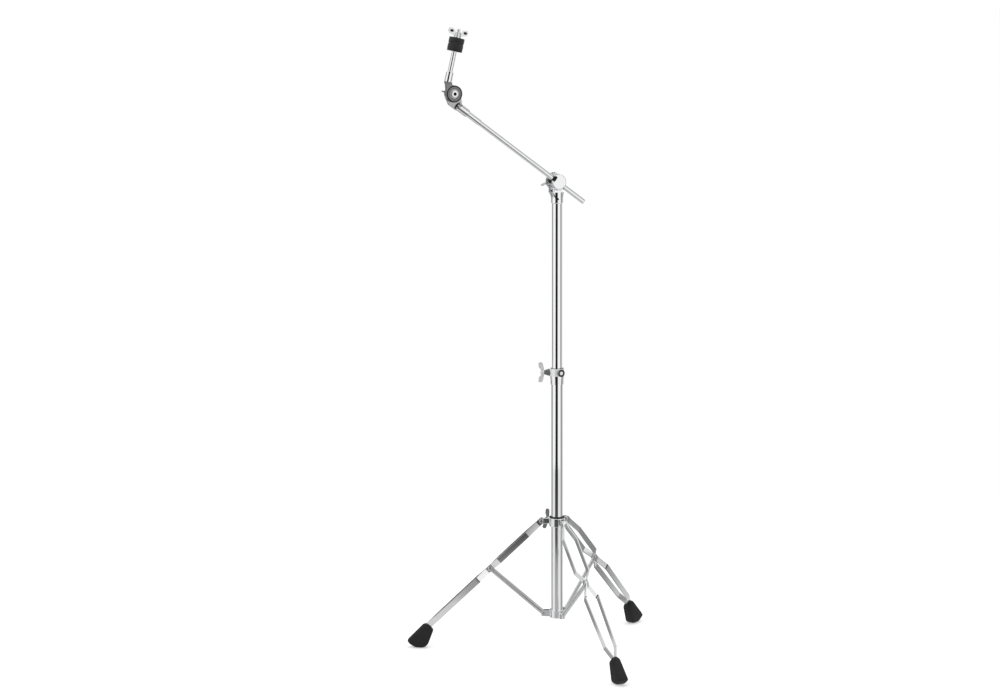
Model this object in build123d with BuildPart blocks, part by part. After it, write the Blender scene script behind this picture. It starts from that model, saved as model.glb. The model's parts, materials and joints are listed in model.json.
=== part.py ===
from build123d import *
from math import acos, atan2, cos, degrees, hypot, radians, sin, tan
import os

# Cymbal boom stand. Millimetres, +Z up, the floor at Z = 0 and the column on the Z axis.
# The legs stand at 180, 300 and 60 degrees round the column, counted from +X.

# Fits
running_gap = 0.05              # radial, shaft in hole, the two turn or slide on each other
body_gap = 0.3                  # between faces of pieces that move apart

# Tripod pivots, as radius from the column axis and height above the floor
leg_azimuths = {"left": 180, "front": 300, "rear": 60}
leg_slope = 43.9                # degrees below the horizontal
leg_to_mid = 175.5              # leg pivot to the mid-leg pivot

# Column
base_tube_r = 14.3
tube_wall = 1.2
tube_slide = 0.4                # radial, upper tube in base tube, guided by the bushing
base_tube_bottom = 85.4
base_tube_top = 682.0
upper_tube_r = base_tube_r - tube_wall - tube_slide
upper_tube_bottom = 512.0
plug_height = 10.0

# Lower hub and struts
hub_r = base_tube_r + 3.7
hub_height = 20.0
strut_pivot_r = hub_r + 15.0
strut_pivot_z = 94.4
ear_reach = strut_pivot_r + 5.3
ear_height = 16.0
cheek_thickness = 3.0
strut_width = 12.5
strut_thickness = 3.0
strut_rivet_r = 2.5

# Leg collar
collar_r = base_tube_r + 5.0
collar_bottom = 313.0
collar_height = 21.0
collar_ring_r = collar_r - 1.1
collar_ring_height = 3.6
leg_pivot_r = collar_r + 18.6
leg_pivot_z = collar_bottom + 12.7
tongue_thickness = 6.4
collar_bolt_azimuth = 135
collar_bolt_z = collar_bottom + 12.0
collar_bolt_turn = -14          # degrees, the wings from upright
collar_boss_r = 7.0
collar_boss_reach = collar_r + 11.7

# Leg strips, as distance along the leg from its pivot and sideways offset of the strip's middle
strip_width = 14.0
strip_thickness = 3.0
leg_rivet_r = 3.0
rivet_head_r = 5.2
rivet_head_height = 2.0
spread = 17.3
root_spread = 16.8
end_spread = 13.8
root_length = 11.0
root_bend_to = 47.0
mid_bend_from = 32.0            # these five are distances from the mid-leg pivot
mid_flat_half = 9.0
lower_bend_to = 43.0
foot_bend_from = 182.0
foot_bend_to = 212.0
strip_end = 236.0
pinch = strut_thickness / 2 + body_gap + strip_thickness / 2
strip_root = tongue_thickness / 2 + body_gap + strip_thickness / 2
strip_path = [
    (-strip_width / 2, strip_root),
    (root_length, strip_root),
    (root_bend_to, root_spread),
    (leg_to_mid - mid_bend_from, spread),
    (leg_to_mid - mid_flat_half, pinch),
    (leg_to_mid + mid_flat_half, pinch),
    (leg_to_mid + lower_bend_to, spread),
    (leg_to_mid + foot_bend_from, end_spread),
    (leg_to_mid + foot_bend_to, pinch),
    (leg_to_mid + strip_end, pinch),
]
bend_radius = 4.0

# Rubber feet, in the leg's plane: a tapered block on a leaning axis, trimmed by its sole
foot_at = 414.5                 # foot's middle, along the leg from its pivot
foot_lean = 57.5                # degrees, the block's axis below the horizontal
foot_axis_off = 12.8            # block's axis outwards of the foot's middle, square to it
foot_shoulder = 55.3            # from the foot's middle up the axis to the top of the block
foot_reach = 12.0               # and down it, past the sole
foot_top_size = (29.0, 23.0)    # in the leg's plane, then across it
foot_bottom_size = (57.2, 29.0)
foot_corner = 9.0
foot_edge = 2.0
sole_in = 4.0                   # flat of the sole, inwards and outwards of the foot's middle
sole_out = 8.0
sole_heel = [(-13.0, 4.2), (-18.0, 10.5)]
sole_toe = [(23.6, 5.2), (34.0, 16.6)]
sole_corner = 8.0
tread_r = 1.3
tread_pitch = 5.5
foot_neck_size = (16.8, 15.0)
foot_neck_back = 20.0           # neck's open end, inwards of the foot's middle
foot_neck_length = 24.0

# Height clamp
clamp_bottom = 665.5
clamp_step = 681.0
clamp_top = 704.5
clamp_r = base_tube_r + 2.9
clamp_skirt_r = base_tube_r + 2.2
clamp_skirt_end_r = base_tube_r + 1.6
bushing_r = upper_tube_r + 2.3
clamp_bolt_azimuth = 185.8
clamp_bolt_z = 694.5
clamp_neck_r = 11.2
clamp_neck_end_r = 4.9
clamp_neck_reach = clamp_r + 13.8
clamp_boss_azimuth = 307
clamp_boss_r = 9.0
clamp_boss_reach = clamp_r + 3.8

# Wing bolts and wing nuts
stem_r = 4.0
wing_thickness = 3.4
wing_pocket = 0.7               # depth of the pocket in each face of a wing
wing_blade = 14.0
bolt_wing_span = 50.0
clamp_bolt_tip = bushing_r + 0.5
collar_bolt_tip = base_tube_r + 0.4
bolt_hub_r = 6.0
bolt_hub_length = 9.0

# Boom tilter
boom_azimuth = 208.8
boom_slope = 36.46              # degrees above the horizontal
tilter_z = 1159.0
yoke_bottom = 1107.0
yoke_sleeve_top = yoke_bottom + 27.0
yoke_shoulder = yoke_sleeve_top - 1.0
yoke_sleeve_r = upper_tube_r + 2.0
yoke_half_width = 15.5
yoke_flare = 14.0
yoke_front = 9.5
yoke_web_height = 14.0
yoke_lip_height = 8.0
rear_disc_r = 21.0
rear_disc_thickness = 7.7
front_disc_r = 18.5
front_disc_face = 15.0
core_r = 15.0
core_half = 8.7
flange_r = 20.4
flange_back = 12.0
ratchet_teeth = 24
tooth_depth = 0.9
jaw_slot_from = 10.5
set_screw_azimuth = 283
set_screw_z = yoke_bottom + 11.0
set_screw_r = 2.6
tilter_nut_span = 62.0
tilter_nut_turn = -56.7         # degrees from the boom's own direction

# Boom, as distance along it from the boom tilter
boom_r = 6.0
boom_wall = 1.6
boom_tail = -86.0
boom_head = 322.0
boom_mark_first = -56.5
boom_mark_pitch = 51.0
boom_mark_count = 6
boom_mark_r = 2.2
boom_mark_depth = 1.1
liner_r = boom_r + 1.2
liner_half = 16.5
cap_length = 12.0
cap_flange = 1.6
boom_sleeve_r = boom_r + 1.1
boom_sleeve_from = boom_head - 72.3
ferrule_r = 9.6
ferrule_from = boom_head - 34.0
ferrule_to = boom_head - 1.5

# Cymbal tilter
arm_pivot_x = boom_head + 23.2  # along the boom
arm_pivot_y = 17.5              # off the boom's axis
arm_disc_r = 20.0
arm_front = 1.0
arm_back = 9.5
arm_elbow_x = boom_head + 14.0
arm_bolt_head_r = 8.5
arm_bolt_head_height = 3.0
arm_bolt_slot = (9.0, 3.0)
arm_nut_span = 46.0
arm_nut_turn = -22.0
post_lean = 13.17               # degrees from the vertical, leaning back over the column
post_offset = 20.0
housing_front = 7.5
housing_top = 25.0
housing_neck_half = 8.5
housing_socket_from = housing_top - 5.2
post_r = 5.9
post_from = housing_top - 7.5
post_sleeve_r = 9.2
post_sleeve_top_r = 8.8
post_sleeve_top = housing_top + 23.0
thread_r = 4.0
thread_from = housing_top + 72.8
relief_r = 3.5                  # groove round the thread between the wing nut and the free tip
relief_width = 1.2
tip_length = 6.3
seat_washer_r = 18.4
seat_washer_height = 2.7
felt_r = 18.4
felt_height = 14.9
felt_corner = 1.6
cymbal_sleeve_r = 5.4
cymbal_nut_span = 51.0
cymbal_nut_turn = 0.0
cymbal_nut_height = 12.0
cymbal_nut_blade = 17.0
cymbal_wing_rise = 3.8          # wings' lower edge above the nut's seat

# Worked out from the sizes above
mid_r = leg_pivot_r + leg_to_mid * cos(radians(leg_slope))
mid_z = leg_pivot_z - leg_to_mid * sin(radians(leg_slope))
strut_length = hypot(mid_r - strut_pivot_r, mid_z - strut_pivot_z)
strut_rise = degrees(atan2(mid_z - strut_pivot_z, mid_r - strut_pivot_r))
foot_r = leg_pivot_r + foot_at * cos(radians(leg_slope))
hub_bottom = strut_pivot_z - hub_height / 2
clevis_outer = strut_thickness / 2 + body_gap + cheek_thickness
rear_disc_front = flange_back + body_gap
rear_disc_back = rear_disc_front + rear_disc_thickness
felt_from = thread_from + seat_washer_height
felt_top = felt_from + 2 * felt_height
tip_from = felt_top + body_gap + cymbal_nut_height + relief_width + 0.4
post_end = tip_from + tip_length + 1
arm_angle = 90 + post_lean


def radial(azimuth):
    """Unit vector outwards from the column at an azimuth."""
    return Vector(cos(radians(azimuth)), sin(radians(azimuth)), 0)


def sideways(azimuth):
    """Unit vector round the column at an azimuth, 90 degrees on from the radial one."""
    return radial(azimuth + 90)


def leg_point(azimuth, radius, height):
    """Point in a leg's vertical plane."""
    return radial(azimuth) * radius + Vector(0, 0, height)


def leg_section(azimuth):
    """Vertical plane of a leg: x outwards, y up."""
    return Plane(origin=(0, 0, 0), x_dir=radial(azimuth), z_dir=-sideways(azimuth))


def leg_frame(azimuth, slope):
    """Frame at the leg pivot: x down along the leg, y sideways, z out of the leg's upper side."""
    along = radial(azimuth) * cos(radians(slope)) - Vector(0, 0, sin(radians(slope)))
    normal = radial(azimuth) * sin(radians(slope)) + Vector(0, 0, cos(radians(slope)))
    return Plane(origin=leg_point(azimuth, leg_pivot_r, leg_pivot_z), x_dir=along, z_dir=normal)


def cross_pin(azimuth, radius, height):
    """Frame of a pin that crosses a leg's plane: z sideways."""
    return Plane(
        origin=leg_point(azimuth, radius, height),
        x_dir=radial(azimuth),
        z_dir=sideways(azimuth),
    )


def spoke(azimuth, height, turn=0):
    """Frame on the column axis with z outwards and x up, turned about z."""
    up = Vector(0, 0, 1) * cos(radians(turn)) + sideways(azimuth) * sin(radians(turn))
    return Plane(origin=(0, 0, height), x_dir=up, z_dir=radial(azimuth))


def boom_direction(angle):
    """Direction in the boom's vertical plane, at an angle above the horizontal."""
    return radial(boom_azimuth) * cos(radians(angle)) + Vector(0, 0, sin(radians(angle)))


rearward = -sideways(boom_azimuth)
tilter_centre = Vector(0, 0, tilter_z)
yoke_frame = Plane(origin=tilter_centre, x_dir=boom_direction(0), z_dir=rearward)
boom_frame = Plane(origin=tilter_centre, x_dir=boom_direction(boom_slope), z_dir=rearward)
arm_pivot = boom_frame.from_local_coords((arm_pivot_x, arm_pivot_y, 0))
head_frame = Plane(origin=arm_pivot, x_dir=boom_direction(arm_angle), z_dir=rearward)


def axis_frame(frame, along, off, turn=0):
    """Frame on a rod that lies along frame's x, at along and off its axis: z along the rod."""
    side = frame.y_dir * cos(radians(turn)) + frame.z_dir * sin(radians(turn))
    return Plane(
        origin=frame.from_local_coords((along, off, 0)), x_dir=side, z_dir=frame.x_dir
    )


def disc(frame, start, end, radius, mode=Mode.ADD):
    """Cylinder along the frame's z, from start to end."""
    with BuildSketch(frame.offset(start)) as face:
        Circle(radius)
    extrude(face.sketch, amount=end - start, mode=mode)


def cone(frame, start, end, start_radius, end_radius):
    """Cone along the frame's z, from start to end."""
    with BuildSketch(frame.offset(start)) as low:
        Circle(start_radius)
    with BuildSketch(frame.offset(end)) as high:
        Circle(end_radius)
    loft([low.sketch, high.sketch])


def turned(frame, start):
    """The frame with its x turned by start degrees about its z."""
    along = frame.x_dir * cos(radians(start)) + frame.y_dir * sin(radians(start))
    return Plane(origin=frame.origin, x_dir=along, z_dir=frame.z_dir)


def wing_pair(frame, low, blade, span):
    """Two thin wings along the frame's x, rising along its z from low."""
    half = span / 2
    with BuildSketch(Plane(origin=frame.origin, x_dir=frame.x_dir, z_dir=-frame.y_dir)) as ears:
        for side in (1, -1):
            with BuildSketch(mode=Mode.PRIVATE) as ear:
                Polygon(
                    (0, low), (half * 0.3, low), (half * 0.86, low + blade * 0.22),
                    (half, low + blade * 0.5), (half * 0.93, low + blade),
                    (half * 0.5, low + blade * 0.92), (half * 0.28, low + blade * 0.55),
                    (0, low + blade * 0.5), align=None,
                )
                ends = ear.vertices().filter_by(lambda v: abs(v.X) > half * 0.4)
                fillet(ends, blade * 0.16)
            add(ear.sketch if side == 1 else mirror(ear.sketch, about=Plane.YZ))
    extrude(ears.sketch, amount=wing_thickness / 2, both=True)


def wing_pockets(frame, low, blade, span):
    """Shallow pockets in both faces of a pair of wings."""
    half = span / 2
    for facing in (1, -1):
        face = frame.origin + frame.y_dir * facing * wing_thickness / 2
        with BuildSketch(Plane(origin=face, x_dir=frame.x_dir, z_dir=-frame.y_dir)) as pockets:
            with Locations((half * 0.68, low + blade * 0.58), (-half * 0.68, low + blade * 0.58)):
                RectangleRounded(half * 0.34, blade * 0.34, blade * 0.14)
        extrude(pockets.sketch, amount=facing * wing_pocket, mode=Mode.SUBTRACT)


def rivet(frame, shank_r, half_grip, head_r, head_height):
    """Round rivet along the frame's z, with a domed head outside each end of the grip."""
    disc(frame, -half_grip, half_grip, shank_r)
    for facing in (frame, Plane(origin=frame.origin, x_dir=frame.x_dir, z_dir=-frame.z_dir)):
        shoulder = half_grip + head_height * 0.55
        disc(facing, half_grip, shoulder, head_r)
        cone(facing, shoulder, half_grip + head_height, head_r, head_r * 0.62)


def strip_outline(side):
    """Outline of a bent strip seen from above the leg, mitred at its bends."""
    path = [(along, side * off) for along, off in strip_path]
    half = strip_thickness / 2
    left, right = [], []
    for index, (along, off) in enumerate(path):
        before = path[max(index - 1, 0)]
        after = path[min(index + 1, len(path) - 1)]
        into = atan2(off - before[1], along - before[0]) if index else None
        out = atan2(after[1] - off, after[0] - along) if index < len(path) - 1 else into
        into = out if into is None else into
        middle = (into + out) / 2
        reach = half / cos((out - into) / 2)
        left.append((along - reach * sin(middle), off + reach * cos(middle)))
        right.append((along + reach * sin(middle), off - reach * cos(middle)))
    return left + right[::-1]


os.makedirs("parts", exist_ok=True)

# ---------------------------------------------------------------- base
column = Plane.XY

with BuildPart() as base_tube:
    disc(column, base_tube_bottom, base_tube_top, base_tube_r)
    disc(column, base_tube_bottom, base_tube_top, base_tube_r - tube_wall, mode=Mode.SUBTRACT)

base_tube.part.label = "base_tube"
export_step(base_tube.part, "parts/base_tube.step")

with BuildPart() as base_plug:
    disc(column, base_tube_bottom - 1, base_tube_bottom, base_tube_r - 0.3)
    disc(column, base_tube_bottom, base_tube_bottom + plug_height, base_tube_r - tube_wall)
    fillet(base_plug.edges().group_by(Axis.Z)[0], 0.6)

base_plug.part.label = "base_plug"
export_step(base_plug.part, "parts/base_plug.step")

with BuildPart() as lower_hub:
    disc(column, hub_bottom, hub_bottom + hub_height, hub_r)
    chamfer(lower_hub.edges().filter_by(GeomType.CIRCLE), 0.8)
    for azimuth in leg_azimuths.values():
        with BuildSketch(leg_section(azimuth)) as ear:
            with Locations(((base_tube_r + ear_reach) / 2, strut_pivot_z)):
                Rectangle(ear_reach - base_tube_r, ear_height)
            fillet(ear.vertices().group_by(Axis.X)[-1], 4)
        extrude(amount=clevis_outer, both=True)
        with BuildSketch(leg_section(azimuth)):
            with Locations(((hub_r + ear_reach + 1) / 2, strut_pivot_z)):
                Rectangle(ear_reach + 1 - hub_r, ear_height + 1)
        extrude(amount=strut_thickness / 2 + body_gap, both=True, mode=Mode.SUBTRACT)
        pin = cross_pin(azimuth, strut_pivot_r, strut_pivot_z)
        disc(pin, -clevis_outer, clevis_outer, strut_rivet_r, mode=Mode.SUBTRACT)
    disc(column, hub_bottom, hub_bottom + hub_height, base_tube_r, mode=Mode.SUBTRACT)

lower_hub.part.label = "lower_hub"
export_step(lower_hub.part, "parts/lower_hub.step")

with BuildPart() as strut_rivets:
    for azimuth in leg_azimuths.values():
        pin = cross_pin(azimuth, strut_pivot_r, strut_pivot_z)
        rivet(pin, strut_rivet_r, clevis_outer, 4.4, 1.7)

strut_rivets.part.label = "strut_rivets"
export_step(strut_rivets.part, "parts/strut_rivets.step")

clamp_spoke = spoke(clamp_bolt_azimuth, clamp_bolt_z)
with BuildPart() as height_clamp:
    cone(column, clamp_bottom, clamp_step, clamp_skirt_end_r, clamp_skirt_r)
    disc(column, clamp_step, clamp_top, clamp_r)
    fillet(height_clamp.edges().group_by(Axis.Z)[-1], 1.2)
    cone(clamp_spoke, bushing_r - 3, clamp_neck_reach, clamp_neck_r, clamp_neck_end_r)
    boss = spoke(clamp_boss_azimuth, clamp_bolt_z)
    disc(boss, base_tube_r, clamp_boss_reach, clamp_boss_r)
    disc(boss, clamp_boss_reach - 1.6, clamp_boss_reach, clamp_boss_r - 2, mode=Mode.SUBTRACT)
    disc(boss, clamp_r - 1, clamp_boss_reach - 0.4, clamp_boss_r - 4)
    disc(column, clamp_bottom, base_tube_top, base_tube_r, mode=Mode.SUBTRACT)
    disc(column, base_tube_top, clamp_bolt_z + clamp_neck_r, bushing_r + running_gap,
         mode=Mode.SUBTRACT)
    disc(clamp_spoke, 0, clamp_neck_reach, stem_r + running_gap, mode=Mode.SUBTRACT)

height_clamp.part.label = "height_clamp"
export_step(height_clamp.part, "parts/height_clamp.step")

# ---------------------------------------------------------------- leg collar
collar_spoke = spoke(collar_bolt_azimuth, collar_bolt_z)
with BuildPart() as leg_collar:
    disc(column, collar_bottom, collar_bottom + collar_height, collar_r)
    chamfer(leg_collar.edges().filter_by(GeomType.CIRCLE), 0.9)
    for azimuth in leg_azimuths.values():
        with BuildSketch(leg_section(azimuth)):
            with Locations(((base_tube_r + leg_pivot_r) / 2, leg_pivot_z)):
                Rectangle(leg_pivot_r - base_tube_r, strip_width)
            with Locations((leg_pivot_r, leg_pivot_z)):
                Circle(strip_width / 2)
        extrude(amount=tongue_thickness / 2, both=True)
        pin = cross_pin(azimuth, leg_pivot_r, leg_pivot_z)
        disc(pin, -tongue_thickness, tongue_thickness, leg_rivet_r, mode=Mode.SUBTRACT)
    disc(collar_spoke, base_tube_r, collar_boss_reach, collar_boss_r)
    chamfer(leg_collar.faces().sort_by(Axis(collar_spoke.origin, collar_spoke.z_dir))[-1].edges(), 1)
    disc(column, collar_bottom - 1, collar_bottom + collar_height + 1, base_tube_r + running_gap,
         mode=Mode.SUBTRACT)
    disc(collar_spoke, 0, collar_boss_reach, stem_r + running_gap, mode=Mode.SUBTRACT)

leg_collar.part.label = "leg_collar"
export_step(leg_collar.part, "parts/leg_collar.step")

collar_top = collar_bottom + collar_height
with BuildPart() as collar_ring:
    disc(column, collar_top, collar_top + collar_ring_height, collar_ring_r)
    fillet(collar_ring.edges().group_by(Axis.Z)[-1], 1)
    disc(column, collar_top, collar_top + collar_ring_height, base_tube_r + running_gap,
         mode=Mode.SUBTRACT)

collar_ring.part.label = "collar_ring"
export_step(collar_ring.part, "parts/collar_ring.step")

leg_grip = strip_root + strip_thickness / 2 + body_gap
with BuildPart() as leg_rivets:
    for azimuth in leg_azimuths.values():
        pin = cross_pin(azimuth, leg_pivot_r, leg_pivot_z)
        rivet(pin, leg_rivet_r, leg_grip, rivet_head_r, rivet_head_height)

leg_rivets.part.label = "leg_rivets"
export_step(leg_rivets.part, "parts/leg_rivets.step")

# ---------------------------------------------------------------- wing bolts
collar_wing_frame = spoke(collar_bolt_azimuth, collar_bolt_z, collar_bolt_turn)
with BuildPart() as collar_wing_bolt:
    start = collar_boss_reach + body_gap
    disc(collar_wing_frame, collar_bolt_tip, start, stem_r)
    cone(collar_wing_frame, start, start + bolt_hub_length, bolt_hub_r + 1, bolt_hub_r - 1)
    wing_pair(collar_wing_frame, start + 2, wing_blade, bolt_wing_span)

collar_wing_bolt.part.label = "collar_wing_bolt"
export_step(collar_wing_bolt.part, "parts/collar_wing_bolt.step")

with BuildPart() as height_wing_bolt:
    start = clamp_neck_reach + body_gap
    disc(clamp_spoke, clamp_bolt_tip, start, stem_r)
    cone(clamp_spoke, start, start + bolt_hub_length, bolt_hub_r - 1, bolt_hub_r - 2)
    wing_pair(clamp_spoke, start, wing_blade, bolt_wing_span)

height_wing_bolt.part.label = "height_wing_bolt"
export_step(height_wing_bolt.part, "parts/height_wing_bolt.step")

# ---------------------------------------------------------------- legs, struts and feet
for name, azimuth in leg_azimuths.items():
    frame = leg_frame(azimuth, leg_slope)
    side_plane = Plane(origin=frame.origin, x_dir=frame.x_dir, z_dir=-frame.y_dir)
    strips = {}
    for letter, side in (("a", 1), ("b", -1)):
        with BuildPart() as leg_strip:
            with BuildSketch(frame) as outline:
                Polygon(*strip_outline(side), align=None)
                bends = outline.vertices().sort_by(Axis.X)[2:-2]
                fillet(bends, bend_radius)
            extrude(amount=strip_width / 2, both=True)
            with BuildSketch(side_plane):
                Circle(strip_width / 2)
                with Locations((foot_at / 2, 0)):
                    Rectangle(foot_at, strip_width)
            extrude(amount=spread + strip_thickness, both=True, mode=Mode.INTERSECT)
            disc(cross_pin(azimuth, leg_pivot_r, leg_pivot_z), -leg_grip, leg_grip,
                 leg_rivet_r + running_gap, mode=Mode.SUBTRACT)
            disc(cross_pin(azimuth, mid_r, mid_z), -leg_grip, leg_grip, leg_rivet_r,
                 mode=Mode.SUBTRACT)
        strips[letter] = leg_strip.part
        leg_strip.part.label = f"leg_{name}_strip_{letter}"
        export_step(leg_strip.part, f"parts/leg_{name}_strip_{letter}.step")

    with BuildPart() as mid_rivet:
        pin = cross_pin(azimuth, mid_r, mid_z)
        rivet(pin, leg_rivet_r, pinch + strip_thickness / 2, rivet_head_r, rivet_head_height)
        gap = pinch - strip_thickness / 2
        disc(pin, -gap, gap, leg_rivet_r + 1, mode=Mode.SUBTRACT)

    mid_rivet.part.label = f"leg_{name}_mid_rivet"
    export_step(mid_rivet.part, f"parts/leg_{name}_mid_rivet.step")

    with BuildPart() as foot:
        middle = leg_point(azimuth, foot_r, 0)
        outwards = Plane(origin=middle, x_dir=radial(azimuth), z_dir=-sideways(azimuth))
        lean = radians(foot_lean)
        down_axis = radial(azimuth) * cos(lean) - Vector(0, 0, sin(lean))
        off_axis = radial(azimuth) * sin(lean) + Vector(0, 0, cos(lean))
        block = Plane(origin=middle + off_axis * foot_axis_off, x_dir=off_axis, z_dir=down_axis)
        with BuildSketch(block.offset(-foot_shoulder)) as shoulder:
            RectangleRounded(*foot_top_size, foot_corner)
        with BuildSketch(block.offset(foot_reach)) as under:
            RectangleRounded(*foot_bottom_size, foot_corner)
        loft([shoulder.sketch, under.sketch])
        fillet(foot.faces().sort_by(Axis(block.origin, block.z_dir))[0].edges(), foot_edge)
        with BuildSketch(outwards) as side_view:
            with BuildLine():
                Polyline(sole_toe[1], (100, 100), (-100, 100), sole_heel[1])
                heel = ThreePointArc(sole_heel[1], sole_heel[0], (-sole_in, 0))
                Line((-sole_in, 0), (sole_out, 0))
                toe = ThreePointArc((sole_out, 0), sole_toe[0], sole_toe[1])
            make_face()
        extrude(side_view.sketch, amount=foot_bottom_size[1], both=True, mode=Mode.INTERSECT)
        for facing, lowest in ((radial(azimuth), 0), (off_axis, -sole_out)):
            with BuildSketch(Plane(origin=middle, x_dir=sideways(azimuth), z_dir=facing)) as front_view:
                with Locations((0, lowest + foot_shoulder)):
                    Rectangle(foot_bottom_size[1], 2 * foot_shoulder)
                fillet(front_view.vertices().group_by(Axis.Y)[0], sole_corner)
            extrude(front_view.sketch, amount=100, both=True, mode=Mode.INTERSECT)
        for arc, far_end in ((heel, 1), (toe, 0)):
            for index in range(1, int(arc.length / tread_pitch)):
                along = index * tread_pitch / arc.length
                with BuildSketch(outwards) as groove:
                    with Locations(arc @ abs(far_end - along)):
                        Circle(tread_r)
                extrude(groove.sketch, amount=foot_bottom_size[1], both=True, mode=Mode.SUBTRACT)
        neck_at = (foot_r - foot_neck_back - leg_pivot_r) / cos(radians(leg_slope))
        neck_start = leg_frame(azimuth, leg_slope).from_local_coords((neck_at, 0, 0))
        neck_plane = Plane(origin=neck_start, x_dir=frame.z_dir, z_dir=frame.x_dir)
        with BuildSketch(neck_plane) as neck:
            RectangleRounded(*foot_neck_size, 4)
        extrude(neck.sketch, amount=foot_neck_length)
    for letter in strips:
        foot.part = foot.part - strips[letter]

    foot.part.label = f"leg_{name}_foot"
    export_step(foot.part, f"parts/leg_{name}_foot.step")

    with BuildPart() as strut:
        along = radial(azimuth) * cos(radians(strut_rise)) + Vector(0, 0, sin(radians(strut_rise)))
        lying = Plane(origin=leg_point(azimuth, strut_pivot_r, strut_pivot_z), x_dir=along,
                      z_dir=-sideways(azimuth))
        with BuildSketch(lying):
            with Locations((strut_length / 2, 0)):
                SlotCenterToCenter(strut_length, strut_width)
            with Locations((0, 0)):
                Circle(strut_rivet_r + running_gap, mode=Mode.SUBTRACT)
            with Locations((strut_length, 0)):
                Circle(leg_rivet_r + running_gap, mode=Mode.SUBTRACT)
        extrude(amount=strut_thickness / 2, both=True)

    strut.part.label = f"strut_{name}"
    export_step(strut.part, f"parts/strut_{name}.step")

# ---------------------------------------------------------------- upper column
with BuildPart() as height_bushing:
    disc(column, base_tube_top + body_gap, clamp_top + 0.8, bushing_r)
    chamfer(height_bushing.edges().group_by(Axis.Z)[-1], 0.8)
    disc(column, base_tube_top, clamp_top + 1, upper_tube_r + running_gap, mode=Mode.SUBTRACT)

height_bushing.part.label = "height_bushing"
export_step(height_bushing.part, "parts/height_bushing.step")

upper_tube_top = yoke_sleeve_top - 3
with BuildPart() as upper_tube:
    disc(column, upper_tube_bottom, upper_tube_top, upper_tube_r)
    disc(column, upper_tube_bottom, upper_tube_top, upper_tube_r - tube_wall, mode=Mode.SUBTRACT)

upper_tube.part.label = "upper_tube"
export_step(upper_tube.part, "parts/upper_tube.step")

with BuildPart() as tilter_yoke:
    disc(column, yoke_bottom, yoke_sleeve_top, yoke_sleeve_r)
    chamfer(tilter_yoke.edges().group_by(Axis.Z)[0], 1.6)
    with BuildSketch(Plane(origin=(0, 0, yoke_sleeve_top - yoke_flare), x_dir=yoke_frame.x_dir,
                           z_dir=(0, 0, 1))):
        Circle(yoke_sleeve_r)
    with BuildSketch(Plane(origin=(0, 0, yoke_shoulder), x_dir=yoke_frame.x_dir,
                           z_dir=(0, 0, 1))):
        with Locations((0, -(rear_disc_back - yoke_front) / 2)):
            RectangleRounded(2 * yoke_half_width, rear_disc_back + yoke_front, 4)
    loft()
    with BuildSketch(yoke_frame.offset(boom_r + 1)):
        with Locations((0, yoke_shoulder - 1 + yoke_web_height / 2 - tilter_z)):
            Rectangle(2 * yoke_half_width - 4, yoke_web_height)
    extrude(amount=rear_disc_back - boom_r - 2)
    with BuildSketch(yoke_frame.offset(-yoke_front)):
        with Locations((0, yoke_shoulder - 1 + yoke_lip_height / 2 - tilter_z)):
            Rectangle(1.4 * yoke_half_width, yoke_lip_height)
    extrude(amount=2.4)
    disc(yoke_frame, -40, rear_disc_front, flange_r + 0.8, mode=Mode.SUBTRACT)
    disc(yoke_frame, rear_disc_front, rear_disc_back, rear_disc_r)
    tooth_frame = yoke_frame.offset(rear_disc_front)
    with BuildSketch(tooth_frame):
        with PolarLocations(rear_disc_r, ratchet_teeth):
            Rectangle(2 * tooth_depth, 2.4)
    extrude(amount=rear_disc_thickness * 0.45, mode=Mode.SUBTRACT)
    disc(yoke_frame, 0, rear_disc_back, stem_r + running_gap, mode=Mode.SUBTRACT)
    disc(column, yoke_bottom, upper_tube_top, upper_tube_r, mode=Mode.SUBTRACT)
    disc(spoke(set_screw_azimuth, set_screw_z), upper_tube_r, yoke_sleeve_r + 1, set_screw_r,
         mode=Mode.SUBTRACT)

tilter_yoke.part.label = "tilter_yoke"
export_step(tilter_yoke.part, "parts/tilter_yoke.step")

with BuildPart() as yoke_screw:
    screw = spoke(set_screw_azimuth, set_screw_z)
    disc(screw, upper_tube_r, yoke_sleeve_r + 0.8, set_screw_r)
    disc(screw, yoke_sleeve_r - 0.8, yoke_sleeve_r + 0.8, set_screw_r * 0.5, mode=Mode.SUBTRACT)
    disc(column, yoke_bottom, upper_tube_top, upper_tube_r, mode=Mode.SUBTRACT)

yoke_screw.part.label = "yoke_screw"
export_step(yoke_screw.part, "parts/yoke_screw.step")

# ---------------------------------------------------------------- boom tilter
boom_axis_frame = axis_frame(boom_frame, 0, 0)
stud_end = rear_disc_back + body_gap + wing_blade - 1
with BuildPart() as tilter_barrel:
    disc(boom_frame, -front_disc_face, -core_half, front_disc_r)
    fillet(tilter_barrel.edges().sort_by(Axis(boom_frame.origin, boom_frame.z_dir))[0], 2.6)
    disc(boom_frame, -core_half, core_half, core_r)
    disc(boom_frame, core_half, flange_back, flange_r)
    with BuildSketch(boom_frame.offset(core_half)):
        with PolarLocations(flange_r, ratchet_teeth):
            Rectangle(2 * tooth_depth, 2.4)
    extrude(amount=flange_back - core_half, mode=Mode.SUBTRACT)
    with BuildSketch(boom_frame.offset(-front_disc_face - 1)):
        with Locations((jaw_slot_from + front_disc_r / 2, 0)):
            RectangleRounded(front_disc_r, 2 * boom_r + 1.6, 1.2)
    extrude(amount=front_disc_face + 1, mode=Mode.SUBTRACT)
    disc(boom_axis_frame, -flange_r, flange_r, liner_r + running_gap, mode=Mode.SUBTRACT)
    disc(boom_frame, core_half, flange_back, stem_r, mode=Mode.SUBTRACT)

tilter_barrel.part.label = "tilter_barrel"
export_step(tilter_barrel.part, "parts/tilter_barrel.step")

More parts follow.
